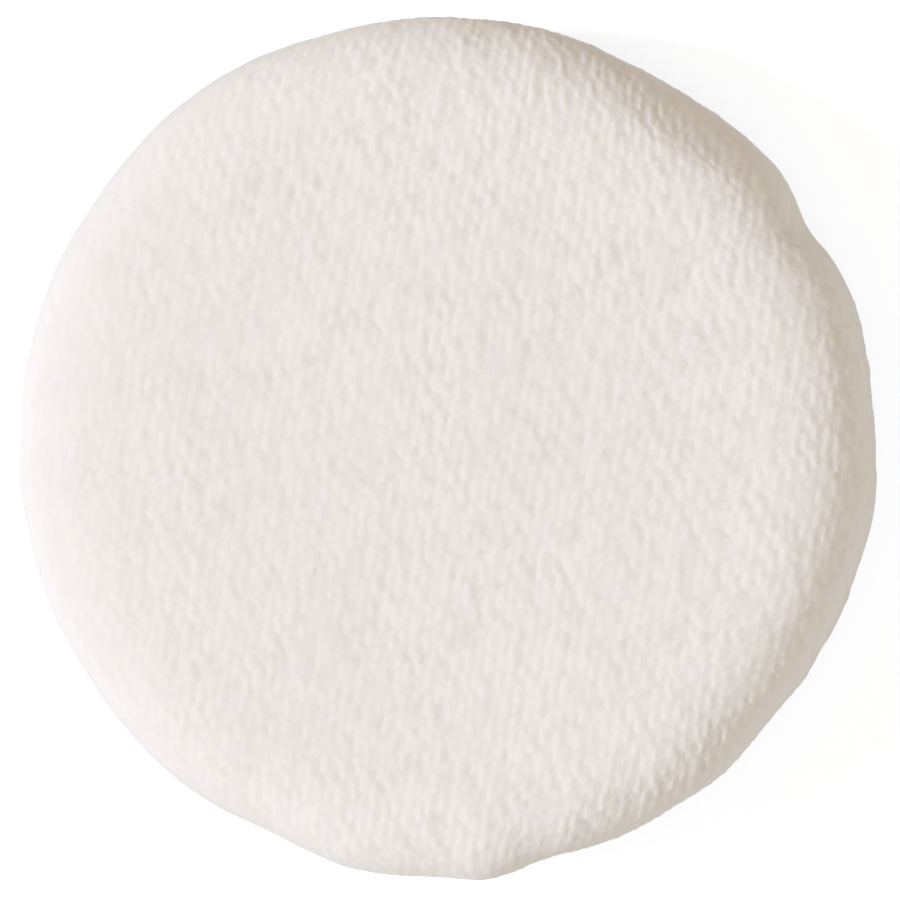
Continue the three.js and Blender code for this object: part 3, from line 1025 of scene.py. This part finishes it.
def velour_material():
    """Cream velour with painted shade between the tufts: the colour is darker and warmer in the
    gaps and paler on the tips, from the pile's kept height. It has faint patches of tint and a
    fine fibrous nap, whose fibres are twice as long along the cloth's height as across."""
    material, tree, shader = new_material("cream_velour")
    cloth = tree.nodes.new("ShaderNodeUVMap")
    cloth.uv_map = "cloth"
    nap_inputs = {"Vector": cloth.outputs[0], "Scale": (1, 0.5, 1)}
    along_nap = add_node(tree, "ShaderNodeMapping", nap_inputs).outputs[0]
    fibres = noise_texture(tree, along_nap, FIBRES_IN_A_CENTIMETRE, detail=3).outputs["Fac"]
    mottle = noise_texture(tree, cloth.outputs[0], MOTTLES_IN_A_CENTIMETRE, detail=2)
    tint = colour_steps(tree, mottle.outputs["Fac"], [
        (0.3, (1.0, 0.984, 1.0)),
        (0.5, (1.0, 0.991, 0.979)),
        (0.7, (0.994, 1.0, 0.958)),
    ])
    fibrous_pile = tree.nodes.new("ShaderNodeMath")
    fibrous_pile.operation = "MULTIPLY_ADD"
    set_inputs(tree, fibrous_pile, {0: fibres, 1: FIBRE_SHARE, 2: kept_values(tree, "pile")})
    # Painted shade: the kept pile height, with the fibres added, makes the colour darker and warmer
    # in the gaps between the tufts and paler on their tips.
    depth = colour_steps(tree, fibrous_pile.outputs[0], [
        (0.06, (0.703, 0.666, 0.653)),
        (0.68, (0.785, 0.742, 0.741)),
        (1.0, (0.811, 0.766, 0.77)),
    ])
    set_inputs(tree, shader, {
        "Base Color": blended(tree, "MULTIPLY", TINT_SHARE, depth, tint),
        "Roughness": 1.0,
        "Specular IOR Level": 0.1,
        "Sheen Weight": 0.2,
        "Sheen Roughness": 0.5,
        "Sheen Tint": (1.0, 0.965, 0.88, 1),
    })
    add_bump(tree, shader, fibres, strength=0.28, distance=0.05 * MILLIMETRE)
    return material


def lit_or_shown(tree, lit, shown):
    """A choice of two shaders: lit for the light that falls on things, and shown for what the
    camera sees directly, in a mirror or through glass."""
    ray = tree.nodes.new("ShaderNodeLightPath")
    direct = ray.outputs["Is Camera Ray"]
    for kind in ("Is Glossy Ray", "Is Transmission Ray"):
        either = add_node(tree, "ShaderNodeMath", {0: direct, 1: ray.outputs[kind]})
        either.use_clamp = True
        direct = either.outputs[0]
    return add_node(tree, "ShaderNodeMixShader", {0: direct, 1: lit, 2: shown}).outputs[0]


def floor_material():
    """A plain white floor that keeps the puff's soft shadow, with a glow that lights nothing."""
    material, tree, shader = new_material("white_floor")
    set_inputs(tree, shader, {"Base Color": FLOOR_COLOUR, "Roughness": 0.9})
    lit = shader.outputs[0]
    glow_inputs = {"Color": GLOW_COLOUR, "Strength": GLOW_STRENGTH}
    glow = add_node(tree, "ShaderNodeEmission", glow_inputs).outputs[0]
    both = add_node(tree, "ShaderNodeAddShader", {0: lit, 1: glow}).outputs[0]
    set_inputs(tree, tree.nodes["Material Output"], {"Surface": lit_or_shown(tree, lit, both)})
    return material


def foam_material():
    """Off-white open-cell foam: painted shade in the small pores between paler walls, and faint
    yellowing.
    """
    material, tree, shader = new_material("white_foam")
    place = tree.nodes.new("ShaderNodeTexCoord").outputs["Object"]
    cells = tree.nodes.new("ShaderNodeTexVoronoi")
    cells.feature = "DISTANCE_TO_EDGE"
    set_inputs(tree, cells, {"Vector": place, "Scale": 1 / PORE_SIZE})
    depth = cells.outputs["Distance"]
    # Painted shade: the colour darkens and warms towards the middle of each pore.
    walls = colour_steps(tree, depth, [
        (0.02, (0.86, 0.83, 0.75)),
        (0.12, (0.80, 0.76, 0.67)),
        (0.4, (0.55, 0.5, 0.42)),
    ])
    age = noise_texture(tree, place, 1 / AGE_PATCH, detail=2).outputs["Fac"]
    yellowed = blended(tree, "MULTIPLY", age, walls, FOAM_YELLOW)
    set_inputs(tree, shader, {"Base Color": yellowed, "Roughness": 0.95})
    add_bump(tree, shader, depth, strength=0.6, distance=0.1 * MILLIMETRE).invert = True
    return material


def thread_material():
    """Cream spun thread with painted shade in the grooves between its plies, with fine fibres and a
    slight sheen."""
    material, tree, shader = new_material("cream_thread")
    groove_inputs = {"Value": kept_values(tree, "ply"), "From Min": -1}
    groove = add_node(tree, "ShaderNodeMapRange", groove_inputs)
    # Painted shade: darker and browner where the ply's lobe dips into a groove between plies.
    shade = colour_steps(tree, groove.outputs[0], [
        (0.0, (0.46, 0.4, 0.31)),
        (0.45, (0.76, 0.71, 0.62)),
        (1.0, (0.84, 0.8, 0.73)),
    ])
    place = tree.nodes.new("ShaderNodeTexCoord").outputs["Object"]
    fibres = noise_texture(tree, place, 1 / THREAD_FIBRE, detail=3).outputs
    fibrous = blended(tree, "SOFT_LIGHT", THREAD_FIBRE_SHARE, shade, fibres["Color"])
    set_inputs(tree, shader, {"Base Color": fibrous, "Roughness": 0.6, "Sheen Weight": 0.15})
    add_bump(tree, shader, fibres["Fac"], strength=0.4, distance=0.02 * MILLIMETRE)
    return material


velour = velour_material()
foam = foam_material()
spun_thread = thread_material()

front_cover = make_cover(
    "front_velour_cover", FRONT_RINGS, FACE_CROWN, BACK_HALF_THICKNESS,
    cloth_shift=0, bottom=None, flip=False,
)
back_cover = make_cover(
    "back_velour_cover", BACK_RINGS, 0, BACK_HALF_THICKNESS,
    cloth_shift=BACK_CLOTH_SHIFT, bottom=BACK_HALF_THICKNESS, flip=True,
)
foam_pad = make_pad()
for cushion, node, slot, finish in (
    (front_cover, "front_cover", "velour", velour),
    (back_cover, "back_cover", "velour", velour),
    (foam_pad, "foam_pad", "foam", foam),
):
    cushion.data.materials.append(finish)
    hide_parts(node)
    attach(cushion, "root")

for name, node, corners in (
    ("twisted_needle_thread", "needle_thread", needle_line()),
    ("twisted_bobbin_thread", "bobbin_thread", bobbin_line()),
    ("twisted_closing_thread", "closing_thread", ladder_line()),
):
    thread = make_thread(name, corners)
    thread.data.materials.append(spun_thread)
    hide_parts(node)
    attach(thread, "root")

# The floor that the puff lies on.
bpy.ops.mesh.primitive_plane_add(size=FLOOR_SIZE, location=(0, 0, -FLOOR_DROP))
floor = bpy.context.object
floor.name = "floor"
floor.data.materials.append(floor_material())

# The light: a warm, even room with white walls, a cooler window light from the left, and a broad
# weak fill from the lower right.
world = bpy.data.worlds.new("room")
world.use_nodes = True
room = world.node_tree
warm_light = room.nodes["Background"]
set_inputs(room, warm_light, {"Color": ROOM_COLOUR, "Strength": ROOM_STRENGTH})
white_wall = add_node(room, "ShaderNodeBackground", {"Color": (1, 1, 1, 1)})
surroundings = lit_or_shown(room, warm_light.outputs[0], white_wall.outputs[0])
set_inputs(room, room.nodes["World Output"], {"Surface": surroundings})
bpy.context.scene.world = world


def add_light(name, bearing, elevation, strength, spread, colour):
    """A far lamp that shines from a bearing and an elevation, and looks as wide in the sky as its
    spread, all in degrees."""
    lamp = bpy.data.lights.new(name, "SUN")
    lamp.energy = strength
    lamp.angle = math.radians(spread)
    lamp.color = colour
    holder = bpy.data.objects.new(name, lamp)
    holder.rotation_euler = (0, math.radians(90 - elevation), math.radians(bearing))
    bpy.context.scene.collection.objects.link(holder)


add_light(
    "window", bearing=181.4, elevation=39, strength=2.98, spread=12, colour=(0.744, 0.838, 0.987)
)
add_light(
    "fill", bearing=-28, elevation=30, strength=0.89, spread=80, colour=(0.74, 0.857, 1.0)
)

# The camera: almost straight above the face, leaning a little to the right.
CAMERA_DISTANCE = 0.5
CAMERA_LEAN = math.radians(5.9)
FRAME_WIDTH = 63.1 * MILLIMETRE
SENSOR_WIDTH = 36
AIM = (0.27 * MILLIMETRE, -0.36 * MILLIMETRE, SEAM_HEIGHT)
lens = bpy.data.cameras.new("camera")
lens.sensor_width = SENSOR_WIDTH
lens.lens = SENSOR_WIDTH * CAMERA_DISTANCE / FRAME_WIDTH
lens.clip_start = 0.01
camera = bpy.data.objects.new("camera", lens)
camera.location = (
    AIM[0] + CAMERA_DISTANCE * math.sin(CAMERA_LEAN),
    AIM[1],
    AIM[2] + CAMERA_DISTANCE * math.cos(CAMERA_LEAN),
)
camera.rotation_euler = (0, CAMERA_LEAN, 0)
bpy.context.scene.collection.objects.link(camera)
bpy.context.scene.camera = camera
bpy.context.scene.view_settings.view_transform = "Standard"
